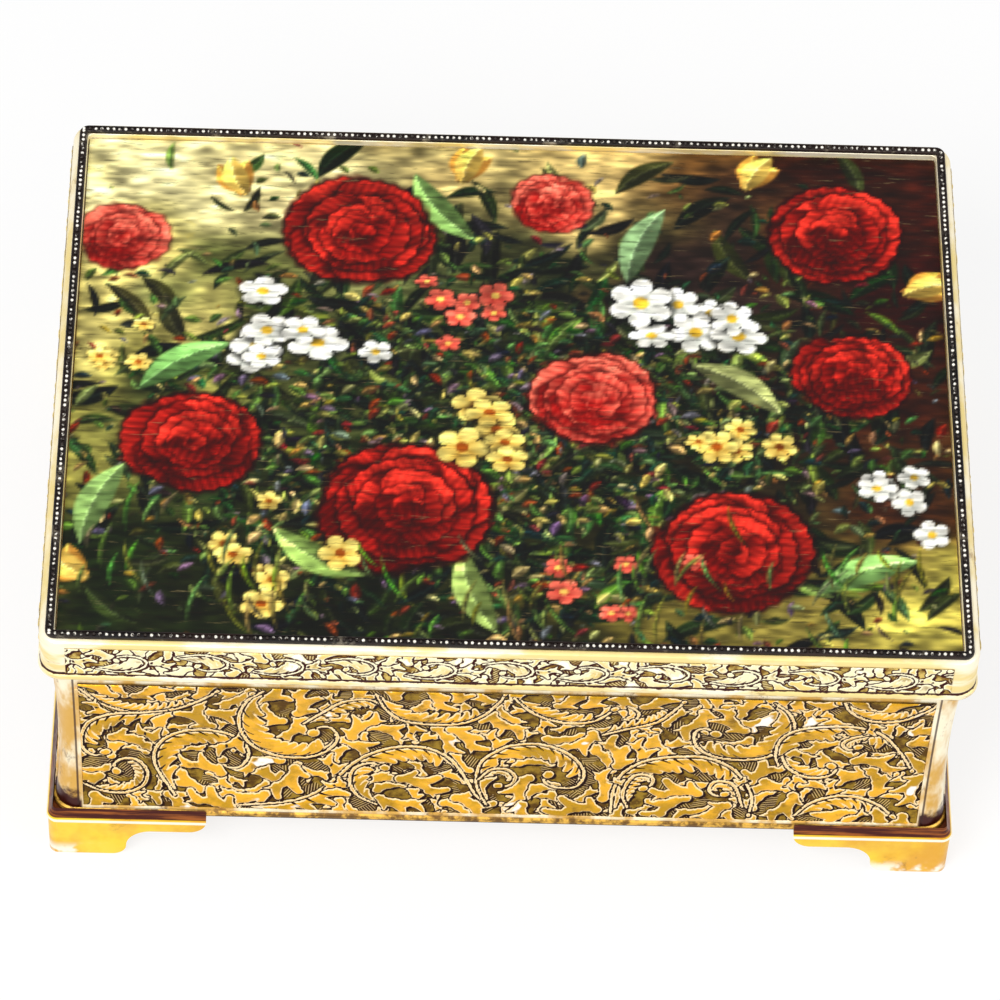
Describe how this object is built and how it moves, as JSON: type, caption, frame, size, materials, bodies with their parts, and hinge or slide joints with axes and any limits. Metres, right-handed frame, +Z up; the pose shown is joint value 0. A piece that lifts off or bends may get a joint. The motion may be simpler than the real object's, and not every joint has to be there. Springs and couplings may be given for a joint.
{
  "type": "musical jewelry box",
  "caption": "Footed gilt metal jewelry box with scroll-engraved walls, a picture in its hinged lid and a pinned-cylinder musical movement with comb and governor.",
  "frame": {"origin": "middle of the footprint, on the surface that the feet stand on", "axes": "+X to the box's right along its length, -Y to its front, +Z up"},
  "size_m": [0.1428, 0.1048, 0.057],
  "materials": {
    "engraved_gilt": "engraved relief on a darkened ground",
    "lid_gilt": "engraved, polished on the raised parts",
    "foot_gilt": "polished gilt",
    "plain_gilt": "satin gilt",
    "blackened_gilt": "milled and blackened with bright tops",
    "hinge_brass": "satin",
    "velvet": "deep red velvet over card",
    "printed_silk": "woven silk with a printed flower piece",
    "card": "matt",
    "clear_pane": "clear",
    "cast_base": "cast and tumbled",
    "movement_steel": "ground steel",
    "movement_brass": "turned brass"
  },
  "bodies": {
    "box": {"body_shell": "engraved_gilt", "bottom_plate": "plain_gilt", "foot_front_left": "foot_gilt", "foot_front_right": "foot_gilt", "foot_back_left": "foot_gilt", "foot_back_right": "foot_gilt", "hinge_body_leaf": "hinge_brass", "hinge_pin": "hinge_brass", "well_lining": "velvet", "well_floor_pad": "velvet", "movement_surround": "velvet", "movement_deck": "velvet", "movement_window": "clear_pane", "bedplate": "cast_base", "movement_screws": "movement_steel", "spring_housing": "cast_base", "mainspring": "movement_steel", "bearing_front": "cast_base", "bearing_back": "cast_base", "comb": "movement_steel", "comb_screws": "movement_steel", "governor_bracket": "cast_base"},
    "lid": {"lid_frame": "lid_gilt", "gallery_border": "blackened_gilt", "picture_backing": "card", "picture_panel": "printed_silk", "lid_lining": "velvet", "hinge_lid_leaf": "hinge_brass"},
    "winder": {"winding_key": "plain_gilt", "winding_arbor": "movement_steel", "great_wheel": "movement_brass"},
    "cylinder_unit": {"cylinder": "movement_brass", "cylinder_arbor": "movement_steel", "cylinder_pinion": "movement_brass", "cylinder_gear": "movement_brass"},
    "governor": {"governor_arbor": "movement_steel", "worm_wheel": "movement_brass"},
    "fan_unit": {"worm_shaft": "movement_steel", "fan": "movement_brass"},
    "stop": {"stop_rod": "movement_steel"}
  },
  "joints": [
    {"name": "lid_hinge", "type": "hinge", "parent": "box", "child": "lid", "pos_m": [0, 0.051, 0.0466], "axis": [-1, 0, 0], "range_deg": [0, 100]},
    {"name": "key_turn", "type": "hinge", "parent": "box", "child": "winder", "pos_m": [0.0415, -0.013, 0.01], "axis": [0, 0, 1], "continuous": true},
    {"name": "cylinder_spin", "type": "hinge", "parent": "box", "child": "cylinder_unit", "pos_m": [0.0415, 0, 0.0215], "axis": [0, 1, 0], "continuous": true},
    {"name": "governor_spin", "type": "hinge", "parent": "box", "child": "governor", "pos_m": [0.0515, 0.016, 0.0215], "axis": [0, 1, 0], "continuous": true},
    {"name": "fan_spin", "type": "hinge", "parent": "box", "child": "fan_unit", "pos_m": [0.0558, 0.016, 0.025], "axis": [0, 0, 1], "continuous": true},
    {"name": "stop_slide", "type": "slide", "parent": "box", "child": "stop", "axis": [0, 0, 1], "range_m": [0, 0.002]}
  ],
  "couplings": [
    {"joint": "cylinder_spin", "follows": "key_turn", "ratio": 2},
    {"joint": "governor_spin", "follows": "key_turn", "ratio": -8},
    {"joint": "fan_spin", "follows": "key_turn", "ratio": -96},
    {"joint": "stop_slide", "follows": "lid_hinge", "m_per_rad": 0.00114}
  ]
}
